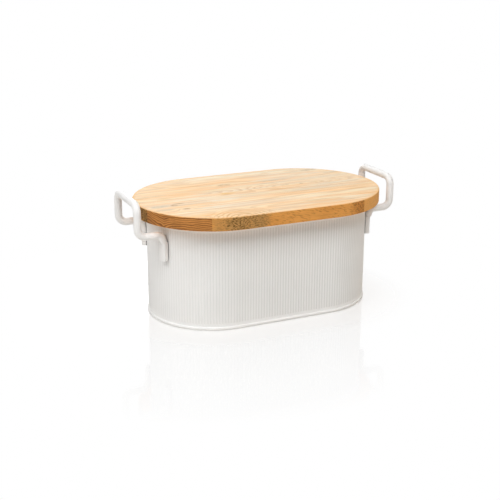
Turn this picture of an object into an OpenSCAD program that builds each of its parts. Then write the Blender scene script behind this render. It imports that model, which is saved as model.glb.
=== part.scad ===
// Bread box: an oval tub of ribbed sheet metal with two rod handles and a
// loose lid of glued wooden staves. Millimetres, +Z up, +X along the tub,
// front at -Y, origin on the table under the middle of the tub.

/* [Tub] */
// Length of each straight side of the oval
straight_len = 138; // [90:1:220]
// Radius of the round ends over the rib crests
wall_r = 88; // [75:1:120]
// Height of the tub, table to the top of its rim
tub_h = 140.2; // [115:0.1:220]
// Thickness of the sheet metal
sheet_t = 0.6; // [0.5:0.05:0.9]
// Distance from one rib to the next
rib_pitch = 3.95; // [3:0.05:8]
// Depth of the ribs
rib_depth = 0.8; // [0.3:0.05:1.2]
// Height of the bead round the foot
foot_h = 4.8; // [3.6:0.1:8]
// How far the foot bead stands out past the rib crests
foot_out = 1.2; // [0.6:0.1:4]
// Plain band between a bead and the end of the ribs
plain_band = 3.5; // [1:0.1:8]
// Width of the plain strip with the sheet's lap joint, at the back
seam_w = 12; // [6:0.5:24]
// Diameter of the wire inside the rolled rim
wire_d = 2; // [1.4:0.1:3]
// How far the floor is set up above the table
floor_lift = 3; // [1.6:0.1:3.4]

/* [Lid] */
// Thickness of the lid board
lid_t = 18; // [12:0.5:24]
// How far the lid stands out past the rib crests
lid_overhang = 18; // [8:0.5:24]
// Rounding of the lid's edges
lid_edge_r = 1.5; // [0.5:0.1:4]
// Width of the narrow stave left along the front
front_stave_w = 8.2; // [5:0.1:14]
// How much narrower the back stave is than a full one
back_trim = 1.4; // [0:0.1:10]
// Width of a batten under the lid
batten_w = 22; // [16:0.5:34]
// Thickness of a batten
batten_t = 12; // [9:0.5:18]
// Air between the corners of a batten and the round wall
batten_gap = 4.76; // [3.8:0.02:12]
// From a batten's outer side to the end of the tub's inside
batten_end_gap = 39.6; // [25:0.1:60]
// From the ends of a batten to its outer screws
batten_inset = 15; // [10:0.5:25]

/* [Handles] */
// Diameter of the handle rod
rod_d = 10; // [6:0.5:12]
// Distance between the middle lines of a handle's two posts
post_spacing = 77; // [60:1:96]
// Air between the lid's end and a handle post
post_gap = 7.5; // [4:0.5:20]
// Air between the lid's underside and the handle arms
arm_drop = 10; // [4:0.5:24]
// Middle of the grip above the lid's top
grip_rise = 9; // [6:0.5:40]
// From the middle of an arm down to the foot of its leg
leg_len = 35.5; // [30:0.5:45]
// Radius of the rod's bends, along its middle line
bend_r = 11; // [7:0.5:14]
// Radius of the bend between an arm and its leg
leg_bend_r = 8; // [6:0.5:14]
// Width of the flattened leg
tab_w = 11; // [9:0.5:14]
// Thickness of the flattened leg
tab_t = 7; // [4:0.1:9]

/* [Screws] */
// Diameter of the machine screws that hold the handles
handle_screw_d = 4; // [3:0.1:4.5]
// Diameter of the wood screws that hold the battens
wood_screw_d = 3.5; // [2.5:0.1:4]
// Wood left over the tips of the wood screws
screw_cover = 5; // [2:0.5:8]

/* [Hidden] */
$fn = 96;

// Clearances
overrun = 1;       // how far a cut runs past the surface it opens
seat_gap = 0.2;    // handle leg to rib crests, washer to wall
lid_gap = 0.3;     // loose lid over the rim
fit_gap = 0.05;    // screw in its thread, plate in its bead
wire_gap = 0.1;    // wire in the rolled rim
hole_gap = 0.25;   // handle screw in the wall's hole
slit_w = 0.4;      // slit between the rolled rim's free edge and the wall

// Wall: the plain bands lie halfway between rib crests and valleys
band_r = wall_r - rib_depth / 2;
band_in_r = band_r - sheet_t;
inner_r = wall_r - rib_depth - sheet_t;
straight_ribs = round(straight_len / rib_pitch);
round_ribs = round(PI * wall_r / rib_pitch);
// Corners of one rib along its pitch, as shares, and the height of each
rib_along_shares = [0.11, 0.39, 0.61, 0.89];
rib_height_shares = [1, 0, 0, 1];

// Rolled rim
wire_r = wire_d / 2;
roll_r = wire_r + wire_gap + sheet_t;
roll_x = band_in_r + roll_r;
roll_z = tub_h - roll_r;

// Foot bead and floor
foot_corner_r = min((foot_out + rib_depth / 2) / 2, 0.35 * (foot_h - sheet_t));
floor_lip = 0.6 * foot_out;
ribs_from = foot_h + plain_band;
ribs_to = tub_h - 2 * roll_r - plain_band;

// Lid
lid_z = tub_h + lid_gap;
lid_top = lid_z + lid_t;
lid_r = wall_r + lid_overhang;
stave_w = (2 * lid_r - front_stave_w + back_trim) / 3;
stave_edges = [
    -lid_r - overrun,
    -lid_r + front_stave_w,
    -lid_r + front_stave_w + stave_w,
    -lid_r + front_stave_w + 2 * stave_w,
    lid_r + overrun
];

// Battens, as long as the round wall leaves room for
batten_corner_r = batten_w / 5;
batten_outer_x = straight_len / 2 + inner_r - batten_end_gap;
batten_x = batten_outer_x - batten_w / 2;
batten_len = 2 * sqrt(
    pow(inner_r - batten_gap, 2) - pow(batten_outer_x - straight_len / 2, 2)
);
third_stave_y = (stave_edges[2] + stave_edges[3]) / 2;
batten_screw_ys = [
    -batten_len / 2 + batten_inset,
    third_stave_y,
    batten_len / 2 - batten_inset
];

// Handles
rod_r = rod_d / 2;
post_x = straight_len / 2 + lid_r + post_gap + rod_r;
post_y = post_spacing / 2;
arm_z = lid_z - arm_drop - rod_r;
grip_z = lid_top + grip_rise;
leg_z = arm_z - leg_len;
tab_in_r = wall_r + seat_gap;
leg_angle = asin(post_y / (tab_in_r + rod_r));
place_step = 0.01;  // the legs' place is rounded to this
leg_x = place_step * round(
    (straight_len / 2 + (tab_in_r + rod_r) * cos(leg_angle)) / place_step
);
tab_corner_r = 0.16 * tab_w;
blend_len = 4;  // flattened leg to round rod
blend_top = arm_z - leg_bend_r;
tab_top = blend_top - blend_len;
// The cone that the blend is cut from holds the flattened leg's corners
blend_r = sqrt(pow(rod_r, 2) + pow(tab_w / 2, 2)) + fit_gap;
screw_z = (leg_z + tab_top) / 2;

// Handle screws and washers
screw_r = handle_screw_d / 2;
head_r = 1.85 * screw_r;
head_h = 1.2 * screw_r;
washer_r = 2.25 * screw_r;
washer_t = 0.4 * screw_r;
thread_depth = 0.6 * tab_t;
cross_len = 1.1 * head_r;
cross_w = 0.35 * screw_r;
cross_depth = 0.5 * head_h;
// A flat washer inside the round wall touches it with its rim
washer_x = sqrt(pow(inner_r - seat_gap, 2) - pow(washer_r, 2));

// Wood screws
wood_r = wood_screw_d / 2;
wood_head_r = 2 * wood_r;
wood_head_h = wood_head_r - wood_r;
wood_tip_h = 2 * wood_r;
wood_screw_len = batten_t + lid_t - screw_cover;

// A solid that runs round the oval. Its section has x as the distance from
// the line between the two round ends' centres, and y as the height.
module oval_sweep() {
    for (turn = [0, 180]) rotate([0, 0, turn]) {
        translate([straight_len / 2, 0, 0])
            rotate([0, 0, -90]) rotate_extrude(angle = 180) children();
        translate([-straight_len / 2, 0, 0])
            rotate([90, 0, 90]) linear_extrude(straight_len) children();
    }
}

// A rectangle with the corners at its far side rounded
module bead_section(width, height, corner) {
    square([width - corner, height]);
    translate([0, corner]) square([width, height - 2 * corner]);
    for (y = [corner, height - corner])
        translate([width - corner, y]) circle(corner);
}

// Point of the oval of radius r on stretch 0 to 3 (front, right end, back,
// left end), at share u of the stretch
function oval_point(stretch, u, r) =
    stretch == 0 ? [(u - 1 / 2) * straight_len, -r] :
    stretch == 1 ? [straight_len / 2 + r * sin(180 * u), -r * cos(180 * u)] :
    stretch == 2 ? [(1 / 2 - u) * straight_len, r] :
    [-straight_len / 2 - r * sin(180 * u), r * cos(180 * u)];

function rib_count(stretch) = stretch % 2 == 0 ? straight_ribs : round_ribs;

// Ribs are left out over the lap joint in the middle of the back
function in_seam(stretch, u) =
    stretch == 2 && abs(u - 1 / 2) * straight_len < seam_w / 2;

// Outline of the ribbed sheet, moved in from the rib crests by inset
function ribbed_outline(inset) = [
    for (stretch = [0:3], rib = [0:rib_count(stretch) - 1], corner = [0:3])
        let (
            u = (rib + rib_along_shares[corner]) / rib_count(stretch),
            rise = in_seam(stretch, u) ? 1 / 2 : rib_height_shares[corner]
        )
        oval_point(stretch, u, wall_r - inset - rib_depth * (1 - rise))
];

module ribbed_sheet() {
    translate([0, 0, ribs_from]) linear_extrude(ribs_to - ribs_from)
        difference() {
            polygon(ribbed_outline(0));
            polygon(ribbed_outline(sheet_t));
        }
}

// Foot bead with the plain band over it
module foot_section() {
    translate([band_in_r, sheet_t])
        bead_section(wall_r + foot_out - band_in_r, foot_h - sheet_t, foot_corner_r);
    translate([band_in_r, sheet_t]) square([sheet_t, ribs_from - sheet_t]);
}

// Rolled rim with the plain band under it
module rim_section() {
    translate([band_in_r, ribs_to]) square([sheet_t, roll_z - ribs_to]);
    difference() {
        translate([roll_x, roll_z]) circle(roll_r);
        translate([roll_x, roll_z]) circle(roll_r - sheet_t);
        translate([band_r, roll_z - roll_r - overrun])
            square([slit_w, roll_r + overrun]);
    }
}

// Places its children at a handle leg: x outwards from the wall, end -1 is
// left and 1 right, row -1 is front and 1 back
module at_leg(end, row) {
    rotate([0, 0, end < 0 ? 180 : 0]) translate([straight_len / 2, 0, 0])
        rotate([0, 0, end * row * leg_angle]) children();
}

module tub_wall() {
    color("whitesmoke") difference() {
        union() {
            ribbed_sheet();
            oval_sweep() foot_section();
            oval_sweep() rim_section();
        }
        for (end = [-1, 1], row = [-1, 1]) at_leg(end, row)
            translate([inner_r - overrun, 0, screw_z]) rotate([0, 90, 0])
                cylinder(r = screw_r + hole_gap, h = wall_r - inner_r + 2 * overrun);
    }
}

module rim_wire() {
    color("silver") oval_sweep() translate([roll_x, roll_z]) circle(wire_r);
}

// Floor with a flange turned down inside the foot bead and out under it
module base_plate() {
    rim_out = band_in_r - fit_gap;
    color("gainsboro") oval_sweep() {
        translate([0, floor_lift - sheet_t]) square([rim_out, sheet_t]);
        translate([rim_out - sheet_t, 0]) square([sheet_t, floor_lift]);
        translate([rim_out - sheet_t, 0])
            square([wall_r + floor_lip - rim_out + sheet_t, sheet_t]);
    }
}

// Quarter bend of the rod, from the x axis to the y axis
module rod_bend(radius) {
    rotate_extrude(angle = 90) translate([radius, 0]) circle(rod_r);
}

// The leg's modules have their origin at the foot of the rod's first bend, z
// up, and turn is the leg's turn about z. Under that turn x is outwards from
// the rod's middle line, and y along the wall.

// Flattened leg against the wall, a tab as seen from outside
module leg_tab() {
    tab_len = tab_top - leg_z;
    translate([-rod_r, 0, -blend_len]) rotate([90, 0, 90])
        linear_extrude(tab_t) {
            translate([-tab_w / 2, tab_corner_r - tab_len])
                square([tab_w, tab_len - tab_corner_r]);
            translate([tab_corner_r - tab_w / 2, -tab_len])
                square([tab_w - 2 * tab_corner_r, tab_len]);
            for (y = [-1, 1])
                translate([y * (tab_w / 2 - tab_corner_r), tab_corner_r - tab_len])
                    circle(tab_corner_r);
        }
}

// From the flattened leg to the round rod: a cone, cut to the leg's outline
// as seen from the side and from outside
module leg_blend(turn) {
    wide = rod_r + seat_gap;
    intersection() {
        translate([0, 0, -blend_len])
            cylinder(r1 = blend_r, r2 = rod_r, h = blend_len);
        rotate([0, 0, turn]) translate([0, tab_w, 0]) rotate([90, 0, 0])
            linear_extrude(2 * tab_w)
            polygon([
                [-rod_r, -blend_len],
                [tab_t - rod_r, -blend_len],
                [wide, 0],
                [-wide, 0]
            ]);
        rotate([0, 0, turn]) translate([-rod_d, 0, 0]) rotate([90, 0, 90])
            linear_extrude(2 * rod_d)
            polygon([
                [-tab_w / 2, -blend_len],
                [tab_w / 2, -blend_len],
                [wide, 0],
                [-wide, 0]
            ]);
    }
}

module leg(turn) {
    leg_blend(turn);
    rotate([0, 0, turn]) difference() {
        leg_tab();
        translate([-rod_r - overrun, 0, screw_z - blend_top])
            rotate([0, 90, 0])
            cylinder(r = screw_r + fit_gap, h = thread_depth + overrun);
    }
}

// Half of the rod at one end of the tub, from a leg to the grip's middle
module rod_half(row) {
    translate([leg_x, row * post_y, blend_top]) leg(row * leg_angle);
    translate([leg_x + leg_bend_r, row * post_y, blend_top])
        rotate([90, 0, 180]) rod_bend(leg_bend_r);
    translate([leg_x + leg_bend_r, row * post_y, arm_z]) rotate([0, 90, 0])
        cylinder(r = rod_r, h = post_x - leg_x - leg_bend_r - bend_r);
    translate([post_x - bend_r, row * post_y, arm_z + bend_r])
        rotate([-90, 0, 0]) rod_bend(bend_r);
    translate([post_x, row * post_y, arm_z + bend_r])
        cylinder(r = rod_r, h = grip_z - arm_z - 2 * bend_r);
    translate([post_x, row * (post_y - bend_r), grip_z - bend_r])
        rotate([90, 0, row * 90]) rod_bend(bend_r);
    translate([post_x, 0, grip_z]) rotate([-row * 90, 0, 0])
        cylinder(r = rod_r, h = post_y - bend_r);
}

module handle(end) {
    color("white") rotate([0, 0, end < 0 ? 180 : 0])
        for (row = [-1, 1]) rod_half(row);
}

module cross_recess() {
    for (turn = [0, 90]) rotate([0, 0, turn])
        translate([-cross_len / 2, -cross_w / 2, -overrun])
            cube([cross_len, cross_w, cross_depth + overrun]);
}

// Screw from inside the tub into the leg, x outwards
module handle_screw(end, row) {
    under_head = washer_x - washer_t;
    color("silver") at_leg(end, row)
        translate([under_head - head_h, 0, screw_z]) rotate([0, 90, 0]) {
            difference() {
                cylinder(r1 = 0.8 * head_r, r2 = head_r, h = head_h / 2);
                cross_recess();
            }
            translate([0, 0, head_h / 2]) cylinder(r = head_r, h = head_h / 2);
            translate([0, 0, head_h])
                cylinder(r = screw_r, h = tab_in_r + thread_depth - under_head - fit_gap);
        }
}

module handle_washer(end, row) {
    color("silver") at_leg(end, row)
        translate([washer_x - washer_t, 0, screw_z]) rotate([0, 90, 0])
            difference() {
                cylinder(r = washer_r, h = washer_t);
                translate([0, 0, -overrun])
                    cylinder(r = screw_r + wire_gap, h = washer_t + 2 * overrun);
            }
}

// Places its children at a batten, under the lid, z upwards
module at_batten(end) {
    translate([end * batten_x, 0, lid_z - batten_t]) children();
}

// Whole lid board with rounded edges, before it is parted into staves
module lid_board() {
    translate([0, 0, lid_z]) oval_sweep()
        bead_section(lid_r, lid_t, lid_edge_r);
}

module lid_stave(n) {
    from_y = stave_edges[n - 1];
    to_y = stave_edges[n];
    length = straight_len + 2 * lid_r + 2 * overrun;
    color("burlywood") difference() {
        intersection() {
            lid_board();
            translate([-length / 2, from_y, lid_z - overrun])
                cube([length, to_y - from_y, lid_t + 2 * overrun]);
        }
        for (end = [-1, 1], y = batten_screw_ys) if (y > from_y && y < to_y)
            at_batten(end) translate([0, y, batten_t - overrun])
                cylinder(r = wood_r + fit_gap, h = wood_screw_len - batten_t + overrun + fit_gap);
    }
}

module lid_batten(end) {
    color("tan") at_batten(end) difference() {
        linear_extrude(batten_t) {
            square([batten_w - 2 * batten_corner_r, batten_len], center = true);
            square([batten_w, batten_len - 2 * batten_corner_r], center = true);
            for (x = [-1, 1], y = [-1, 1])
                translate([x * (batten_w / 2 - batten_corner_r), y * (batten_len / 2 - batten_corner_r)])
                    circle(batten_corner_r);
        }
        for (y = batten_screw_ys) translate([0, y, 0]) {
            translate([0, 0, -overrun])
                cylinder(r = wood_r + fit_gap, h = batten_t + 2 * overrun);
            cylinder(r1 = wood_head_r + fit_gap, r2 = wood_r + fit_gap, h = wood_head_h);
        }
    }
}

// Countersunk screw, driven from below through the batten into the lid
module batten_screw(end, n) {
    color("silver") at_batten(end) translate([0, batten_screw_ys[n - 1], 0]) {
        difference() {
            cylinder(r1 = wood_head_r, r2 = wood_r, h = wood_head_h);
            cross_recess();
        }
        translate([0, 0, wood_head_h])
            cylinder(r = wood_r, h = wood_screw_len - wood_head_h - wood_tip_h);
        translate([0, 0, wood_screw_len - wood_tip_h])
            cylinder(r1 = wood_r, r2 = wood_r / 4, h = wood_tip_h);
    }
}

END_NAMES = [[-1, "left"], [1, "right"]];
ROW_NAMES = [[-1, "front"], [1, "back"]];

tub_wall();
rim_wire();
base_plate();
for (end = END_NAMES)
    handle(end[0]);
for (end = END_NAMES, row = ROW_NAMES)
    handle_screw(end[0], row[0]);
for (end = END_NAMES, row = ROW_NAMES)
    handle_washer(end[0], row[0]);
for (n = [1:4])
    lid_stave(n);
for (end = END_NAMES)
    lid_batten(end[0]);
for (end = END_NAMES, n = [1:3])
    batten_screw(end[0], n);
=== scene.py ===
import math
import bpy
from mathutils import Matrix, Vector


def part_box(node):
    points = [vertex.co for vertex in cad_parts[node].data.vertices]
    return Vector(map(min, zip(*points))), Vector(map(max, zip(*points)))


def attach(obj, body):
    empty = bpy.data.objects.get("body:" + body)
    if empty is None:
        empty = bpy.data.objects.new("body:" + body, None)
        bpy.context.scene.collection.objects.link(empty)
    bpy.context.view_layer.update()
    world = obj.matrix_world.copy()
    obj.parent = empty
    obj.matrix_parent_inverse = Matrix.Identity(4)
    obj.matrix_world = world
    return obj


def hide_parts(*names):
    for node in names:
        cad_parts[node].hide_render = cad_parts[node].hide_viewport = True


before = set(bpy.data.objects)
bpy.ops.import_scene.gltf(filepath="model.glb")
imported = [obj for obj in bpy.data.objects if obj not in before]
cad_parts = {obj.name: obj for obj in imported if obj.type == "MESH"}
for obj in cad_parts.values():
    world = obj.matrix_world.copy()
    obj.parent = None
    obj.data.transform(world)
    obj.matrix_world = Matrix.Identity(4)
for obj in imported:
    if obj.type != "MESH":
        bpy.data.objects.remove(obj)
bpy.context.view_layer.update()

# All sizes below are in millimetres, apart from the lamps', and meshes are
# scaled to metres.
MM = 0.001


def node_box(node):
    """Lowest and highest corner of a CAD node, in millimetres."""
    low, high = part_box(node)
    return Vector(low) / MM, Vector(high) / MM


# Sizes read from the frame
lid_low, lid_high = node_box("lid_stave_3")
front_low, _ = node_box("lid_stave_1")
_, tub_high = node_box("tub_wall")
grip_low, grip_high = node_box("handle_right")
LID_Z = lid_low.z
LID_END = lid_high.x
LID_R = -front_low.y
STRAIGHT = 2 * (LID_END - LID_R)
TUB_TOP = tub_high.z

# Tub sheet, as in the solids
LID_OVERHANG = 18
WALL_R = LID_R - LID_OVERHANG
SHEET = 0.6
RIB_DEPTH = 0.8
RIB_FLAT = 1.2           # the more, the flatter a rib's crest and valley
BAND_R = WALL_R - RIB_DEPTH / 2
BAND_IN = BAND_R - SHEET
STRAIGHT_RIBS = 35
ROUND_RIBS = 70
RIB_STEPS = 8
RIB_FADE = 1.6           # height in which the ribs rise from the plain band
FADE_STEPS = 4
PLAIN_STEPS = 4
FOOT_H = 4.8
FOOT_OUT = 1.2
FOOT_TOP_DEG = 78        # where the foot's bead turns in to the wall
FOOT_STEPS = 14
CREASE_OUT = 0.12        # soft crease between the foot's bead and the wall
CREASE_FROM = 0.1
CREASE_TO = 0.4
ROLL_R = 1.7
ROLL_FROM_DEG = -126     # where the wall turns out to the rim's roll
ROLL_STEPS = 20
THROAT = 0.85            # how far below its middle the roll begins, in its radii
PLAIN_BAND = 3.5
RIBS_FROM = FOOT_H + PLAIN_BAND
RIBS_TO = TUB_TOP - 2 * ROLL_R - PLAIN_BAND

# Seam in the middle of the back, where one end of the sheet laps the other
SEAM_HALF = 6
SEAM_FADE = 1.5
LAP_OUT = 0.3
LAP_EDGE = 0.6
LAP_RAMP = 3

# Mesh attribute for painted shade: high in the grooves of the ribbed sheet and where a
# handle's legs meet the wall, 0 elsewhere
PAINTED_SHADE = "painted_shade"
GROOVE_TOP = 0.35        # rib height under which a groove gets painted shade
GROOVE_MIDDLE = 1.25     # painted shade at the tub's middle
GROOVE_SLOPE = 0.75      # and how much more painted shade there is under the lid's right end
LEG_SHADE_FROM = 0.7     # share of the way from a leg's middle to the wall
LEG_SHADE_FADE = 0.25    # and the share in which the painted shade rises there

# Share by which the shading of the ribs' outside turns to that of a plain wall,
# so that thin ribs stay regular in a small picture
CALM = 0.6

# Handle rod, as in the solids
ROD_R = 5
BEND_R = 11
LEG_BEND_R = 8
TAB_W = 11
TAB_T = 7
TAB_CORNER = 1.8
TAB_EDGE = 0.6           # how much thinner the tab is at its very foot
TAB_EDGE_RATE = 2.2      # and how fast it grows to its full thickness
LEG_GAP = 0.2
BLEND_LEN = 4
POST_Y = 38.5
POST_X = grip_high.x - ROD_R
GRIP_Z = grip_high.z - ROD_R
ARM_DROP = 10            # from the lid's underside down to the arms
ARM_Z = LID_Z - ARM_DROP - ROD_R
LEG_Z = grip_low.z

# Sections of the rod: their points, their number in each stretch, and their
# squareness, 2 for an ellipse and more for a rectangle with rounded corners
ROD_POINTS = 32
CORNER_STEPS = 6
TAB_STEPS = 4
BLEND_STEPS = 12
BEND_STEPS = 14
ROUND = 2.0
SQUARE = 5.0


def make_mesh(name, points, faces, materials, body, painted_shade):
    """A smooth mesh object from points in millimetres, riding on a body."""
    mesh = bpy.data.meshes.new(name)
    mesh.from_pydata([Vector(p) * MM for p in points], [], faces)
    mesh.validate()
    mesh.polygons.foreach_set("use_smooth", [True] * len(mesh.polygons))
    for material in materials:
        mesh.materials.append(material)
    # The share of painted shade, kept as a mesh attribute
    mesh.attributes.new(PAINTED_SHADE, "FLOAT", "POINT").data.foreach_set("value", painted_shade)
    piece = bpy.data.objects.new(name, mesh)
    bpy.context.scene.collection.objects.link(piece)
    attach(piece, body)
    return piece


def smoothstep(t):
    t = min(1.0, max(0.0, t))
    return t * t * (3 - 2 * t)


class Shader:
    """Adds nodes to one material."""

    def __init__(self, name):
        self.material = bpy.data.materials.new(name)
        self.material.use_nodes = True
        self.tree = self.material.node_tree
        self.bsdf = self.tree.nodes["Principled BSDF"]
        self.output = self.tree.nodes["Material Output"]

    def put(self, socket, value):
        if isinstance(value, bpy.types.NodeSocket):
            self.tree.links.new(value, socket)
        else:
            socket.default_value = value

    def add(self, kind, inputs, **settings):
        node = self.tree.nodes.new(kind)
        for key, value in settings.items():
            setattr(node, key, value)
        for key, value in inputs.items():
            self.put(node.inputs[key], value)
        return node

    def math(self, operation, a, b=0.0, c=0.0):
        return self.add("ShaderNodeMath", {0: a, 1: b, 2: c}, operation=operation).outputs[0]

    def times(self, a, b):
        return self.math("MULTIPLY", a, b)

    def vector(self, operation, a, b):
        node = self.add("ShaderNodeVectorMath", {0: a, 1: b}, operation=operation)
        return node.outputs[0]

    def join(self, x, y, z=0.0):
        return self.add("ShaderNodeCombineXYZ", {0: x, 1: y, 2: z}).outputs[0]

    def position(self):
        """Place in the row's frame, in millimetres."""
        place = self.add("ShaderNodeTexCoord", {}).outputs["Object"]
        return self.vector("MULTIPLY", place, (1 / MM, 1 / MM, 1 / MM))

    def reach(self):
        """Distance from the line between the oval's two centres, in millimetres."""
        x, y, _ = self.add("ShaderNodeSeparateXYZ", {0: self.position()}).outputs
        past_end = self.math("SUBTRACT", self.math("ABSOLUTE", x), STRAIGHT / 2)
        flat = self.join(self.math("MAXIMUM", past_end, 0.0), y)
        return self.add("ShaderNodeVectorMath", {0: flat}, operation="LENGTH").outputs["Value"]

    def noise(self, place, lengths, seed=0.0, detail=2.0, rough=0.5, output="Fac"):
        """Noise whose features are about that long on X, Y and Z."""
        scaled = self.vector("MULTIPLY", place, tuple(1 / v for v in lengths))
        moved = self.vector("ADD", scaled, (seed, 2 * seed, 3 * seed))
        node = self.add(
            "ShaderNodeTexNoise",
            {"Vector": moved, "Scale": 1.0, "Detail": detail, "Roughness": rough},
        )
        return node.outputs[output]

    def between(self, value, low, high, to_low=0.0, to_high=1.0, smooth=True):
        """The value's way from low to high, as one from to_low to to_high."""
        node = self.add(
            "ShaderNodeMapRange",
            {0: value, 1: low, 2: high, 3: to_low, 4: to_high},
            interpolation_type="SMOOTHSTEP" if smooth else "LINEAR",
        )
        return node.outputs[0]

    def mix(self, share, a, b, blend="MIX"):
        """A colour between a and b: the node's inputs 6 and 7, and its output 2."""
        node = self.tree.nodes.new("ShaderNodeMix")
        node.data_type = "RGBA"
        node.blend_type = blend
        self.put(node.inputs[0], share)
        self.put(node.inputs[6], a)
        self.put(node.inputs[7], b)
        return node.outputs[2]

    def bump(self, height, distance, strength=1.0):
        node = self.add(
            "ShaderNodeBump", {"Height": height, "Distance": distance * MM, "Strength": strength}
        )
        return node.outputs["Normal"]


def rgb(r, g, b):
    """Colour for a socket, from 0 to 1 shares."""
    return (r, g, b, 1.0)


def paint_material(name, colour, cloud_colour, seed, rough, gloss, painted_shade=None):
    """Satin powder coat: faint unevenness in colour and gloss, and a fine orange
    peel. Given a colour for painted shade, it is darker where the mesh's attribute is high."""
    s = Shader(name)
    place = s.position()
    cloud = s.noise(place, (70, 70, 70), seed, detail=3)
    peel = s.noise(place, (2.6, 2.6, 2.6), seed + 5, detail=1)
    speck = s.noise(place, (9, 9, 9), seed + 9, detail=4, rough=0.65)
    base = s.mix(s.between(cloud, 0.35, 0.7), colour, cloud_colour)
    if painted_shade:
        # Painted shade: darker where the mesh's attribute is high
        share = s.add("ShaderNodeAttribute", {}, attribute_name=PAINTED_SHADE).outputs["Fac"]
        base = s.mix(share, base, painted_shade, blend="MULTIPLY")
    s.put(s.bsdf.inputs["Base Color"], base)
    s.put(s.bsdf.inputs["Roughness"], s.between(speck, 0.3, 0.7, rough, rough + 0.1))
    s.put(s.bsdf.inputs["Normal"], s.bump(peel, 0.006))
    s.bsdf.inputs["Specular IOR Level"].default_value = gloss
    return s.material


def steel_material(name, colour, rough, seed):
    """Zinc-plated steel with turning marks and a mottled gloss."""
    s = Shader(name)
    place = s.position()
    mottle = s.noise(place, (2.5, 2.5, 2.5), seed, detail=4, rough=0.6)
    marks = s.noise(place, (0.3, 0.3, 4), seed + 3)
    darker = rgb(*(0.8 * v for v in colour[:3]))
    s.put(s.bsdf.inputs["Base Color"], s.mix(s.between(mottle, 0.35, 0.65), colour, darker))
    s.put(s.bsdf.inputs["Roughness"], s.between(mottle, 0.3, 0.7, rough - 0.06, rough + 0.08))
    s.put(s.bsdf.inputs["Normal"], s.bump(marks, 0.01, 0.4))
    s.bsdf.inputs["Metallic"].default_value = 1.0
    return s.material


# Wood colours: the sanded face is pale, and paler still as painted light from above; the edges and
# underside stronger
FACE_PALE = rgb(0.93, 0.76, 0.53)
FACE_WARM = rgb(0.93, 0.665, 0.40)
FACE_ORANGE = rgb(0.92, 0.56, 0.265)
FACE_GREY = rgb(0.84, 0.70, 0.54)
FACE_LATE = rgb(0.66, 0.38, 0.16)
FACE_LINE = rgb(0.48, 0.29, 0.15)
RIM_ORANGE = rgb(0.90, 0.52, 0.20)
SIDE_EARLY = rgb(0.78, 0.36, 0.085)
SIDE_LATE = rgb(0.50, 0.18, 0.03)
SIDE_DASH = rgb(0.34, 0.12, 0.025)
UNDER_EARLY = rgb(0.90, 0.44, 0.11)
UNDER_LATE = rgb(0.68, 0.28, 0.055)
TAN = rgb(0.44, 0.25, 0.085)
OLIVE = rgb(0.115, 0.062, 0.013)
OCHRE = rgb(0.78, 0.48, 0.15)
BROWN = rgb(0.40, 0.215, 0.085)
SMOKE = rgb(0.52, 0.45, 0.36)
CHALK = rgb(0.88, 0.84, 0.72)

# Wood figure
STEEP, LEVEL = 0.3, 0.95     # how much a surface faces up, from edge to face
WARP = (0, 30, 16)           # how far the rings wander on X, Y and Z
RIPPLE = (0, 1.4, 1.4)       # and how far they tremble
DRIFT = 5.0                  # years by which rings of one radius differ
EYE_WOBBLE = 2.5             # the same for the rings round a knot
RIM_TINT = 5                 # width of the warmer strip round the face
DASH_SLOPE = 0.38
BAND_RAGGED = 26.0           # span in which a band's end wanders
BAND_SOFT = 7                # half the length in which it fades


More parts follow.
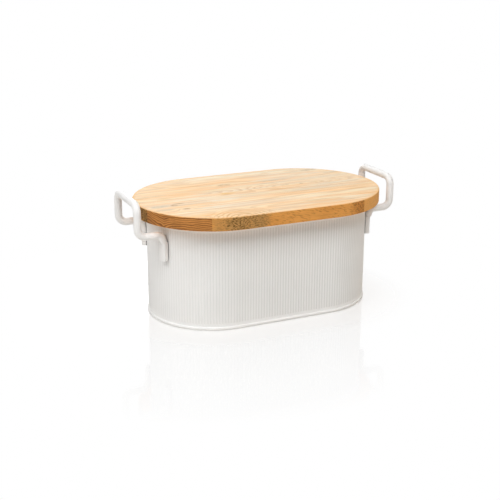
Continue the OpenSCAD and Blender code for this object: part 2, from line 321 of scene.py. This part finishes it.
class Wood(Shader):
    """A board cut from a trunk that lies along X.

    pith is the trunk's middle (y, z) in millimetres, ring the width of a
    year's growth and tilt the trunk's slope to the board. swells are places
    where the grain runs round a knot, as (x, y, half length, half width,
    height), and eyes where it closes in rings, as (x, y, ring width, radius,
    strength). marks are stains on the face, as (x, y, half length, half width,
    colour, strength). bands are stretches of the edge with a colour of their
    own, as (x from, x to, colour, strength, strength of dark speckle). side is
    the edge's colours of early and late wood. side_late and face_late are how
    strongly the rings show on edge and face, and dashes how strongly short
    dark dashes show on the edge. flat is how much the rings are pressed flat
    along Y, and fold how far from the pith they turn back, as in a crotch.
    """

    def __init__(
        self, name, pith, ring, seed, tilt=0.012, swells=(), eyes=(), marks=(), bands=(),
        side=(SIDE_EARLY, SIDE_LATE), side_late=0.85, face_late=0.5, dashes=0.0, flat=1.0,
        fold=0.0,
    ):
        super().__init__(name)
        self.seed = seed
        self.place = self.position()
        self.along = self.add("ShaderNodeSeparateXYZ", {0: self.place}).outputs
        late = self.late_wood(pith, ring, tilt, swells, flat, fold)
        fibre = self.noise(self.place, (46, 0.9, 0.9), seed + 3, detail=3, rough=0.6)
        hair = self.noise(self.place, (16, 0.4, 0.4), seed + 4)
        pore = self.between(hair, 0.63, 0.74)
        face = self.face_colour(late, face_late, eyes, marks)
        edge = self.edge_colour(late, side_late, side, bands, dashes)
        under = self.mix(self.times(late, 0.6), UNDER_EARLY, UNDER_LATE)
        normal = self.add("ShaderNodeTexCoord", {}).outputs["Normal"]
        up = self.add("ShaderNodeSeparateXYZ", {0: normal}).outputs[2]
        # Colour by which way the surface faces; the face's paleness is partly painted light from
        # above
        colour = self.mix(self.between(up, -LEVEL, -STEEP), under, edge)
        colour = self.mix(self.between(up, STEEP, LEVEL), colour, face)
        shade = self.between(fibre, 0.3, 0.7, 0.9, 1.06, smooth=False)
        shade = self.times(shade, self.between(pore, 0.0, 1.0, 1.0, 0.84, smooth=False))
        base = self.mix(1.0, colour, self.join(shade, shade, shade), blend="MULTIPLY")
        self.put(self.bsdf.inputs["Base Color"], base)
        rough = self.between(late, 0.0, 1.0, 0.66, 0.52, smooth=False)
        self.put(self.bsdf.inputs["Roughness"], rough)
        self.bsdf.inputs["Specular IOR Level"].default_value = 0.2
        height = self.math("SUBTRACT", self.times(fibre, 0.5), self.times(pore, 0.6))
        self.put(self.bsdf.inputs["Normal"], self.bump(height, 0.05, 0.5))

    def streak(self, length, width, seed, low, high, detail=2.0):
        """Long soft streaks along the grain, from 0 to 1."""
        noise = self.noise(self.place, (length, width, width), self.seed + seed, detail)
        return self.between(noise, low, high)

    def sway(self, lengths, seed, size):
        """An uneven shift of place, up to about half that size either way."""
        noise = self.noise(self.place, lengths, self.seed + seed, output="Color")
        return self.vector("MULTIPLY", self.vector("SUBTRACT", noise, (0.5, 0.5, 0.5)), size)

    def spot(self, x, y, half_x, half_y):
        """Squared distance from a place on the face, 1 at the ellipse."""
        dx = self.math("DIVIDE", self.math("SUBTRACT", self.along[0], x), half_x)
        dy = self.math("DIVIDE", self.math("SUBTRACT", self.along[1], y), half_y)
        return self.math("ADD", self.times(dx, dx), self.times(dy, dy))

    def late_wood(self, pith, ring, tilt, swells, flat, fold):
        """The dark part of each year's ring, from 0 to 1."""
        warp = self.sway((330, 80, 80), 0, WARP)
        ripple = self.sway((34, 6, 6), 1, RIPPLE)
        bent = self.vector("ADD", self.vector("ADD", self.place, warp), ripple)
        across = self.add("ShaderNodeSeparateXYZ", {0: bent}).outputs
        dy = self.math("SUBTRACT", across[1], pith[0])
        if fold:
            past_fold = self.math("SUBTRACT", self.math("ABSOLUTE", dy), fold)
            dy = self.math("SUBTRACT", fold, self.math("ABSOLUTE", past_fold))
        dy = self.times(dy, flat)
        dz = self.math("SUBTRACT", across[2], pith[1])
        squares = self.math("ADD", self.times(dy, dy), self.times(dz, dz))
        radius = self.math("MULTIPLY_ADD", self.along[0], tilt, self.math("SQRT", squares))
        for x, y, half_x, half_y, height in swells:
            fall = self.times(self.spot(x, y, half_x, half_y), -1.0)
            radius = self.math("MULTIPLY_ADD", self.math("EXPONENT", fall), height, radius)
        drift = self.noise(self.place, (260, 26, 26), self.seed + 2)
        rings = self.math("MULTIPLY_ADD", drift, DRIFT, self.math("DIVIDE", radius, ring))
        year = self.math("FRACT", rings)
        lottery = self.add(
            "ShaderNodeTexWhiteNoise", {"W": self.math("FLOOR", rings)}, noise_dimensions="1D"
        ).outputs[0]
        late = self.times(self.between(year, 0.3, 0.84), self.between(year, 0.9, 1.0, 1.0, 0.0))
        return self.times(late, self.between(lottery, 0.0, 1.0, 0.4, 1.0, smooth=False))

    def eye_rings(self, x, y, ring, radius):
        """Fine closed rings round a knot, fading out at the radius."""
        wobble = self.noise(self.place, (24, 24, 24), self.seed + 14)
        reach = self.times(self.math("SQRT", self.spot(x, y, 1.0, 1.0)), 1 / ring)
        year = self.math("FRACT", self.math("MULTIPLY_ADD", wobble, EYE_WOBBLE, reach))
        late = self.times(self.between(year, 0.35, 0.8), self.between(year, 0.85, 1.0, 1.0, 0.0))
        fade = self.between(reach, 0.3 * radius / ring, radius / ring, 1.0, 0.0)
        return self.times(late, fade)

    def face_colour(self, late, strength, eyes, marks):
        """The sanded face: streaks, rings, knots and stains, warmer at its rim. Its paleness is
        partly painted light from above.
        """
        face = self.mix(self.streak(190, 12, 5, 0.4, 0.6), FACE_PALE, FACE_WARM)
        orange = self.times(self.streak(130, 7, 6, 0.5, 0.66), 0.75)
        face = self.mix(orange, face, FACE_ORANGE)
        grey = self.times(self.streak(150, 11, 7, 0.53, 0.68), 0.75)
        face = self.mix(grey, face, FACE_GREY)
        face = self.mix(self.times(late, strength), face, FACE_LATE)
        line = self.times(self.streak(70, 3, 8, 0.58, 0.7), 0.5)
        face = self.mix(line, face, FACE_LINE)
        for x, y, ring, radius, share in eyes:
            here = self.times(self.eye_rings(x, y, ring, radius), share)
            face = self.mix(here, face, FACE_LATE)
        ragged = self.streak(9, 4, 9, 0.32, 0.6, 3)
        for x, y, half_x, half_y, colour, share in marks:
            here = self.between(self.spot(x, y, half_x, half_y), 0.1, 1.6, share, 0.0)
            here = self.times(here, self.between(ragged, 0.0, 1.0, 0.5, 1.0))
            face = self.mix(here, face, colour)
        near_rim = self.between(self.reach(), LID_R - RIM_TINT, LID_R - 1, 0.0, 0.5)
        return self.mix(near_rim, face, RIM_ORANGE)

    def edge_colour(self, late, strength, side, bands, dashes):
        """The edge: rings, dashes, and bands with ragged ends and dark speckle."""
        early, dark = side
        edge = self.mix(self.times(late, strength), early, dark)
        tone = self.noise(self.place, (40, 12, 12), self.seed + 10, detail=3)
        edge = self.mix(self.between(tone, 0.35, 0.75, 0.0, 0.3), edge, dark)
        if dashes:
            slope = self.math("MULTIPLY_ADD", self.along[0], DASH_SLOPE, self.along[2])
            slanted = self.join(self.along[0], self.along[1], slope)
            dash = self.noise(slanted, (6, 5, 1.2), self.seed + 11)
            edge = self.mix(self.between(dash, 0.52, 0.7, 0.0, dashes), edge, SIDE_DASH)
        ragged = self.noise(self.place, (9, 9, 5), self.seed + 12, detail=3)
        ragged = self.math("SUBTRACT", ragged, 0.5)
        shifted = self.math("MULTIPLY_ADD", ragged, BAND_RAGGED, self.along[0])
        speckle = self.noise(self.place, (2.6, 2.6, 1.3), self.seed + 13, rough=0.6)
        speckle = self.between(speckle, 0.46, 0.6)
        for x_from, x_to, colour, share, dark_share in bands:
            here = self.times(
                self.between(shifted, x_from - BAND_SOFT, x_from + BAND_SOFT),
                self.between(shifted, x_to - BAND_SOFT, x_to + BAND_SOFT, 1.0, 0.0),
            )
            edge = self.mix(self.times(here, share), edge, colour)
            here = self.times(here, dark_share)
            edge = self.mix(self.times(here, speckle), edge, OLIVE)
        return edge


def rib_height(phase):
    """Height of the ribs, from -1 in a valley to 1 on a crest."""
    wave = math.cos(2 * math.pi * phase)
    return math.tanh(RIB_FLAT * wave) / math.tanh(RIB_FLAT)


def oval_stations():
    """Places round the tub: (spine x, outward x, outward y, rib height, lap).

    lap is how far the overlapping edge of the sheet stands out, in millimetres.
    """
    half = STRAIGHT / 2
    stations = []
    for stretch in ("front", "right", "back", "left"):
        ribs = STRAIGHT_RIBS if stretch in ("front", "back") else ROUND_RIBS
        for k in range(ribs * RIB_STEPS):
            u = k / (ribs * RIB_STEPS)
            height = rib_height(u * ribs)
            lap = 0.0
            if stretch == "front":
                spine, nx, ny = (u - 0.5) * STRAIGHT, 0.0, -1.0
            elif stretch == "right":
                spine, nx, ny = half, math.sin(math.pi * u), -math.cos(math.pi * u)
            elif stretch == "back":
                spine, nx, ny = (0.5 - u) * STRAIGHT, 0.0, 1.0
                height *= smoothstep((abs(spine) - SEAM_HALF) / SEAM_FADE)
                lap = LAP_OUT * smoothstep((SEAM_HALF / 2 - spine) / LAP_EDGE)
                lap *= smoothstep((spine + SEAM_HALF) / LAP_RAMP)
            else:
                spine, nx, ny = -half, -math.sin(math.pi * u), math.cos(math.pi * u)
            stations.append((spine, nx, ny, height, lap))
    return stations


def arc(cx, cz, rx, rz, from_deg, to_deg, steps):
    """Points (radius, height) on an upright ellipse."""
    points = []
    for k in range(steps + 1):
        a = math.radians(from_deg + (to_deg - from_deg) * k / steps)
        points.append((cx + rx * math.cos(a), cz + rz * math.sin(a)))
    return points


def wall_rows():
    """The sheet's outline from its foot up the outside, over the rim and down
    the inside, as (radius, height, rib depth share, lap share)."""
    foot_mid = (FOOT_H + SHEET) / 2
    foot_rx = WALL_R + FOOT_OUT - BAND_R
    foot_rz = (FOOT_H - SHEET) / 2
    foot = arc(BAND_R, foot_mid, foot_rx, foot_rz, -90, FOOT_TOP_DEG, FOOT_STEPS)
    roll_x = BAND_IN + ROLL_R
    roll_z = TUB_TOP - ROLL_R
    roll = arc(roll_x, roll_z, ROLL_R, ROLL_R, ROLL_FROM_DEG, 180, ROLL_STEPS)
    fades = [k / FADE_STEPS for k in range(FADE_STEPS + 1)]
    plain_from = RIBS_FROM + RIB_FADE
    plain = RIBS_TO - RIBS_FROM - 2 * RIB_FADE

    rows = [(BAND_IN, SHEET, 0, 0)]
    rows += [(r, z, 0, 0) for r, z in foot]
    rows += [(BAND_R + CREASE_OUT, FOOT_H + CREASE_FROM, 0, 0)]
    rows += [(BAND_R, FOOT_H + CREASE_TO, 0, 1)]
    rows += [(BAND_R, RIBS_FROM + RIB_FADE * t, smoothstep(t), 1) for t in fades]
    rows += [(BAND_R, plain_from + plain * k / PLAIN_STEPS, 1, 1) for k in range(1, PLAIN_STEPS)]
    rows += [(BAND_R, RIBS_TO - RIB_FADE * t, smoothstep(t), 1) for t in reversed(fades)]
    rows += [(BAND_R, roll_z - THROAT * ROLL_R, 0, 1)]
    rows += [(r, z, 0, 0) for r, z in roll]
    rows += [(BAND_IN, RIBS_TO - RIB_FADE * t, smoothstep(t), 0) for t in fades]
    rows += [(BAND_IN, RIBS_FROM + RIB_FADE * t, smoothstep(t), 0) for t in reversed(fades)]
    return rows


def build_tub_wall(material):
    """The ribbed sheet: one outline swept round the oval."""
    stations = oval_stations()
    rows = wall_rows()
    points = []
    painted_shade = []
    plain = []
    for spine, nx, ny, height, lap in stations:
        to_right = (spine + nx * WALL_R) / LID_END
        # Painted shade in the ribs' grooves, with more of it towards the right end
        shade_share = max(0.0, GROOVE_TOP - height) / (GROOVE_TOP + 1)
        shade_share *= GROOVE_MIDDLE + GROOVE_SLOPE * to_right
        for radius, z, ribs, lapped in rows:
            r = radius + ribs * height * RIB_DEPTH / 2 + lapped * lap
            points.append((spine + nx * r, ny * r, z))
            outside = radius == BAND_R
            painted_shade.append(ribs * shade_share if outside else 0.0)
            plain.append((Vector((nx, ny, 0)), CALM * ribs if outside else 0.0))
    n, m = len(stations), len(rows)
    faces = []
    for i in range(n):
        for j in range(m):
            a, b = i * m + j, ((i + 1) % n) * m + j
            c, d = ((i + 1) % n) * m + (j + 1) % m, i * m + (j + 1) % m
            faces.append((a, b, c, d))
    wall = make_mesh("tub_sheet", points, faces, [material], "tub", painted_shade)
    vertices = wall.data.vertices
    normals = [v.normal.lerp(way, share).normalized() for v, (way, share) in zip(vertices, plain)]
    wall.data.normals_split_custom_set_from_vertices(normals)
    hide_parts("tub_wall")


def handle_rings():
    """Sections of half a handle, from a leg's foot to the grip's middle.

    Each is (middle, axis out of the wall, axis along the wall, half
    thickness, half width, squareness, painted shade at the wall), for the right
    end's back leg.
    """
    angle = math.asin(POST_Y / (WALL_R + LEG_GAP + ROD_R))
    out = Vector((math.cos(angle), math.sin(angle), 0))
    side = Vector((-math.sin(angle), math.cos(angle), 0))
    leg = Vector((STRAIGHT / 2, 0, 0)) + out * (WALL_R + LEG_GAP + ROD_R)
    blend_top = ARM_Z - LEG_BEND_R
    tab_top = blend_top - BLEND_LEN
    corner_top = LEG_Z + TAB_CORNER
    half_t, half_w = TAB_T / 2, TAB_W / 2
    rings = []

    def leg_ring(z, thick, wide, square):
        middle = leg + Vector((0, 0, z)) - out * (ROD_R - thick)
        rings.append((middle, out, side, thick, wide, square, 1.0))

    def rod_ring(middle, u, v, painted_shade=0.0):
        rings.append((middle, u, v, ROD_R, ROD_R, ROUND, painted_shade))

    def bend(centre, start, axis, degrees, u, v, painted_shade=0.0):
        for k in range(1, BEND_STEPS + 1):
            turn = Matrix.Rotation(math.radians(degrees * k / BEND_STEPS), 3, axis)
            middle = centre + turn @ (start - centre)
            rod_ring(middle, turn @ u, turn @ v, painted_shade * (1 - k / BEND_STEPS))
        whole = Matrix.Rotation(math.radians(degrees), 3, axis)
        return whole @ u, whole @ v

    for k in range(CORNER_STEPS + 1):
        t = k / CORNER_STEPS
        drop = TAB_CORNER * (1 - math.cos(math.pi / 2 * t))
        inset = TAB_CORNER * (1 - math.sin(math.pi / 2 * t))
        thin = TAB_EDGE * max(0.0, 1 - TAB_EDGE_RATE * t)
        leg_ring(LEG_Z + drop, half_t - thin, half_w - inset, SQUARE)
    for k in range(1, TAB_STEPS + 1):
        leg_ring(corner_top + (tab_top - corner_top) * k / TAB_STEPS, half_t, half_w, SQUARE)
    for k in range(1, BLEND_STEPS + 1):
        t = smoothstep(k / BLEND_STEPS)
        thick = half_t + (ROD_R - half_t) * t
        wide = half_w + (ROD_R - half_w) * t
        leg_ring(tab_top + BLEND_LEN * k / BLEND_STEPS, thick, wide, SQUARE + (ROUND - SQUARE) * t)

    foot = leg + Vector((0, 0, blend_top))
    # The painted shade at the wall runs on into the first bend and fades out there
    u, v = bend(foot + Vector((LEG_BEND_R, 0, 0)), foot, "Y", 90, out, side, painted_shade=1.0)
    arm_end = Vector((POST_X - BEND_R, foot.y, ARM_Z))
    rod_ring(arm_end, u, v)
    u, v = bend(arm_end + Vector((0, 0, BEND_R)), arm_end, "Y", -90, u, v)
    post_end = Vector((POST_X, foot.y, GRIP_Z - BEND_R))
    rod_ring(post_end, u, v)
    u, v = bend(post_end - Vector((0, BEND_R, 0)), post_end, "X", 90, u, v)
    rod_ring(Vector((POST_X, 0, GRIP_Z)), u, v)
    return rings


def ring_points(ring):
    """A section's points, each with its share of painted shade."""
    middle, u, v, thick, wide, square, painted_shade = ring
    points = []
    for k in range(ROD_POINTS):
        a = 2 * math.pi * k / ROD_POINTS
        c, s = math.cos(a), math.sin(a)
        pu = math.copysign(abs(c) ** (2 / square), c) * thick
        pv = math.copysign(abs(s) ** (2 / square), s) * wide
        # Painted shade on the side of the rod that faces the wall
        shade_share = painted_shade * smoothstep((-pu / thick - LEG_SHADE_FROM) / LEG_SHADE_FADE)
        points.append((middle + u * pu + v * pv, shade_share))
    return points


def build_handle(name, end, material):
    """One handle: a bent rod whose two legs are flattened against the wall."""
    half = [ring_points(ring) for ring in handle_rings()]
    mirrored = [[(Vector((p.x, -p.y, p.z)), shade_share) for p, shade_share in ring] for ring in half]
    rings = half + mirrored[-2::-1]
    points = []
    painted_shade = []
    for ring in rings:
        points += [(end * p.x, p.y, p.z) for p, shade_share in ring]
        painted_shade += [shade_share for p, shade_share in ring]
    count = ROD_POINTS
    faces = []
    for i in range(len(rings) - 1):
        for k in range(count):
            a, b = i * count + k, i * count + (k + 1) % count
            face = (a, b, b + count, a + count)
            faces.append(face if end < 0 else face[::-1])
    last = (len(rings) - 1) * count
    foot = tuple(range(count))
    tip = tuple(last + k for k in range(count))
    faces += [foot[::-1], tip] if end < 0 else [foot, tip[::-1]]
    handle = make_mesh(name + "_rod", points, faces, [material], "tub", painted_shade)
    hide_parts(name)


def dress_node(node, material):
    """Gives a CAD node its material."""
    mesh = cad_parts[node].data
    mesh.materials.clear()
    mesh.materials.append(material)


# Paint and metal colours, and the share of light that painted shade leaves
TUB_WHITE = rgb(0.875, 0.877, 0.870)
TUB_CLOUD = rgb(0.845, 0.847, 0.840)
# Painted shade in the grooves between the ribs
TUB_GROOVE_SHADE = rgb(0.88, 0.88, 0.87)
HANDLE_WHITE = rgb(0.87, 0.865, 0.855)
HANDLE_CLOUD = rgb(0.84, 0.835, 0.825)
# Painted shade where the handles' legs and bends meet the wall
HANDLE_CONTACT_SHADE = rgb(0.32, 0.335, 0.36)
SCREW_GREY = rgb(0.60, 0.60, 0.61)
WIRE_GREY = rgb(0.50, 0.50, 0.51)

tub_look = {"seed": 3.0, "rough": 0.5, "gloss": 0.25}
tub_paint = paint_material("tub_paint", TUB_WHITE, TUB_CLOUD, **tub_look)
ribbed_paint = paint_material("ribbed_paint", TUB_WHITE, TUB_CLOUD, painted_shade=TUB_GROOVE_SHADE, **tub_look)
handle_paint = paint_material(
    "handle_paint", HANDLE_WHITE, HANDLE_CLOUD, seed=8.0, rough=0.34, gloss=0.4, painted_shade=HANDLE_CONTACT_SHADE
)
screw_steel = steel_material("screw_steel", SCREW_GREY, rough=0.3, seed=2.0)
wire_steel = steel_material("wire_steel", WIRE_GREY, rough=0.4, seed=4.0)

build_tub_wall(ribbed_paint)
build_handle("handle_left", -1, handle_paint)
build_handle("handle_right", 1, handle_paint)
dress_node("base_plate", tub_paint)
dress_node("rim_wire", wire_steel)

# The knot that the front joint cuts, and the staves with the marks that show
# in the photograph
FRONT_KNOT = (-68, -114, 6.2, 60, 1.0)
stave_woods = [
    Wood("stave_1_wood", (-128, 112), 2.4, 1.3,
         side_late=0.3, face_late=0.35, dashes=0.65,
         swells=[(-67, -106, 26, 20, 16)],
         eyes=[FRONT_KNOT],
         bands=[(-112, -93, TAN, 0.45, 0.25), (-93, -62, TAN, 0.75, 1.0),
                (-62, -38, TAN, 0.75, 0.7), (90, 112, SIDE_LATE, 0.55, 0.6)]),
    Wood("stave_2_wood", (-100, 128), 2.7, 4.7, flat=0.5, fold=42,
         side=(rgb(0.58, 0.245, 0.06), rgb(0.085, 0.021, 0.004)), side_late=1.0,
         swells=[(-67, -106, 30, 24, 18), (-123, -45, 10, 5, 5)],
         eyes=[FRONT_KNOT],
         marks=[(-123, -45, 6, 2.6, BROWN, 0.7), (-152, -40, 16, 6, SMOKE, 0.35),
                (-86, -52, 24, 6, CHALK, 0.35), (-120, -62, 30, 5, CHALK, 0.3),
                (36, -54, 46, 6, CHALK, 0.4), (107, -78, 24, 5, CHALK, 0.4)],
         bands=[(100, 190, rgb(0.82, 0.41, 0.11), 0.85, 0.1)]),
    Wood("stave_3_wood", (12, 148), 3.0, 9.1, tilt=0.03,
         side_late=0.6, face_late=0.75,
         swells=[(-133, -23, 16, 7, 6), (-45, 4, 20, 8, 4), (60, 13, 78, 11, 26)],
         marks=[(-132, -24, 5, 3.4, BROWN, 0.9), (-123, -18, 9, 2.4, BROWN, 0.6),
                (-151, -23, 14, 5, SMOKE, 0.6), (-60, -24, 22, 6, CHALK, 0.4),
                (-96, -4, 36, 5, CHALK, 0.35), (-132, 10, 12, 3.4, OCHRE, 0.5),
                (-45, 4, 13, 4, OCHRE, 0.8), (52, 16, 3, 2, BROWN, 0.5),
                (73, 13, 3.4, 2.4, BROWN, 0.6), (97, 15, 3, 4, OCHRE, 0.7),
                (105, 12, 2.4, 5, OCHRE, 0.6), (114, 7, 2.4, 5, OCHRE, 0.6),
                (129, 11, 3, 6, OCHRE, 0.5), (66, -15, 40, 4, SMOKE, 0.25),
                (130, 18, 60, 30, CHALK, 0.3)],
         bands=[(-190, -166, rgb(0.34, 0.175, 0.045), 0.9, 0.95),
                (150, 190, rgb(0.84, 0.44, 0.12), 0.75, 0.1)]),
    Wood("stave_4_wood", (74, 236), 2.7, 13.9,
         swells=[(-30, 49, 16, 6, 5)],
         marks=[(-30, 49, 11, 2.4, BROWN, 0.75), (46, 45, 26, 2.4, SMOKE, 0.8),
                (121, 81, 13, 4, BROWN, 0.8), (143, 56, 12, 3, SMOKE, 0.6),
                (95, 72, 70, 30, CHALK, 0.3), (-10, 88, 80, 14, CHALK, 0.3)]),
]
for number, wood in enumerate(stave_woods, 1):
    dress_node(f"lid_stave_{number}", wood.material)
batten_wood = Wood("batten_wood", (0, 20), 3.4, 21.0).material
for end_name in ("left", "right"):
    dress_node(f"lid_batten_{end_name}", batten_wood)
    for number in (1, 2, 3):
        dress_node(f"batten_screw_{end_name}_{number}", screw_steel)
    for row_name in ("front", "back"):
        dress_node(f"handle_screw_{end_name}_{row_name}", screw_steel)
        dress_node(f"handle_washer_{end_name}_{row_name}", screw_steel)

# Floor: how white it is and how much it mirrors next to the tub, and over what
# distances the one rises to pure white and the other fades out
FLOOR_HALF = 20000
NEAR_WHITE = 0.7
NEAR_SHEEN = 0.25
FLOOR_SHADE = 70
FLOOR_SHEEN = 260


def build_floor():
    """Polished white floor: its shade and sheen fade to pure white away from the tub."""
    size = FLOOR_HALF
    points = [(-size, -size, 0), (size, -size, 0), (size, size, 0), (-size, size, 0)]
    mesh = bpy.data.meshes.new("floor")
    mesh.from_pydata([Vector(p) * MM for p in points], [], [(0, 1, 2, 3)])
    floor = bpy.data.objects.new("floor", mesh)
    bpy.context.scene.collection.objects.link(floor)
    s = Shader("floor_white")
    s.bsdf.inputs["Base Color"].default_value = rgb(0.92, 0.89, 0.85)
    s.bsdf.inputs["Roughness"].default_value = 0.6
    s.bsdf.inputs["Specular IOR Level"].default_value = 0.1
    reach = s.reach()
    seen = s.add("ShaderNodeLightPath", {}).outputs["Is Camera Ray"]
    white_share = s.between(reach, WALL_R, WALL_R + FLOOR_SHADE, NEAR_WHITE, 1.0, smooth=False)
    white = s.add("ShaderNodeEmission", {"Color": rgb(1, 1, 1), "Strength": 1.0})
    pale = s.add(
        "ShaderNodeMixShader",
        {0: s.times(white_share, seen), 1: s.bsdf.outputs[0], 2: white.outputs[0]},
    )
    sheen_share = s.between(reach, WALL_R, WALL_R + FLOOR_SHEEN, NEAR_SHEEN, 0.0, smooth=False)
    sheen = s.add("ShaderNodeBsdfGlossy", {"Color": rgb(1, 1, 1), "Roughness": 0.06})
    mixed = s.add(
        "ShaderNodeMixShader",
        {0: s.times(sheen_share, seen), 1: pale.outputs[0], 2: sheen.outputs[0]},
    )
    s.put(s.output.inputs["Surface"], mixed.outputs[0])
    mesh.materials.append(s.material)


# Light: places, aims and sizes in metres, power in watts
WORLD_LIGHT = 0.05
LAMP_AIM = (0, 0, 0.08)
WHITE = (1.0, 1.0, 1.0)
AMBER = (1.0, 0.70, 0.40)
LAMPS = (
    ("left", (-1.46, -0.53, 1.56), 1.2, 22.6, WHITE),
    ("front_top", (0, -1.17, 1.87), 1.0, 23.0, WHITE),
    ("back_top", (0.19, 1.08, 1.91), 1.6, 12.4, WHITE),
    ("right_low", (1.9, -0.35, 0.55), 0.8, 3.8, AMBER),
    ("back_low", (0.5, 2.1, 0.45), 0.8, 6.8, WHITE),
)


def build_world():
    """White to the camera and in gloss, and a faint even light elsewhere."""
    world = bpy.data.worlds.new("studio")
    bpy.context.scene.world = world
    world.use_nodes = True
    tree = world.node_tree
    background = tree.nodes["Background"]
    background.inputs["Color"].default_value = rgb(1, 1, 1)
    path = tree.nodes.new("ShaderNodeLightPath")
    seen = tree.nodes.new("ShaderNodeMath")
    seen.operation = "MAXIMUM"
    tree.links.new(path.outputs["Is Camera Ray"], seen.inputs[0])
    tree.links.new(path.outputs["Is Glossy Ray"], seen.inputs[1])
    level = tree.nodes.new("ShaderNodeMapRange")
    tree.links.new(seen.outputs[0], level.inputs[0])
    level.inputs["To Min"].default_value = WORLD_LIGHT
    level.inputs["To Max"].default_value = 1.0
    tree.links.new(level.outputs[0], background.inputs["Strength"])


def add_lamp(name, place, size, watts, colour):
    """A square soft lamp that points at the tub."""
    light = bpy.data.lights.new(name, "AREA")
    light.shape = "SQUARE"
    light.size = size
    light.energy = watts
    light.color = colour
    lamp = bpy.data.objects.new(name, light)
    bpy.context.scene.collection.objects.link(lamp)
    lamp.location = place
    direction = Vector(LAMP_AIM) - Vector(place)
    lamp.rotation_euler = direction.to_track_quat("-Z", "Y").to_euler()


# Camera, from the outlines of the lid, tub and handles in the photograph. The
# photograph's side, the focal length and the lens axis are in pixels, and the
# angles in degrees.
PHOTO = 500
FOCAL = 1020.0
CENTRE_X = 257.85
CENTRE_Y = 243.8
AZIMUTH = -25.54
ELEVATION = 17.65
ROLL = 0.46
DISTANCE = 1418.0
TARGET_Z = 82.35
SENSOR = 36.0


def build_camera():
    az, el = math.radians(AZIMUTH), math.radians(ELEVATION)
    back = Vector((math.sin(az) * math.cos(el), -math.cos(az) * math.cos(el), math.sin(el)))
    right = Vector((math.cos(az), math.sin(az), 0))
    up = back.cross(right)
    turn = Matrix((right, up, back)).transposed() @ Matrix.Rotation(math.radians(ROLL), 3, "Z")
    data = bpy.data.cameras.new("camera")
    data.sensor_width = SENSOR
    data.lens = FOCAL / PHOTO * SENSOR
    data.shift_x = -(CENTRE_X - PHOTO / 2) / PHOTO
    data.shift_y = (CENTRE_Y - PHOTO / 2) / PHOTO
    data.clip_end = 100
    camera = bpy.data.objects.new("camera", data)
    bpy.context.scene.collection.objects.link(camera)
    place = (Vector((0, 0, TARGET_Z)) + back * DISTANCE) * MM
    camera.matrix_world = Matrix.Translation(place) @ turn.to_4x4()
    bpy.context.scene.camera = camera


build_floor()
build_world()
for lamp in LAMPS:
    add_lamp(*lamp)
build_camera()
bpy.context.scene.view_settings.view_transform = "Standard"
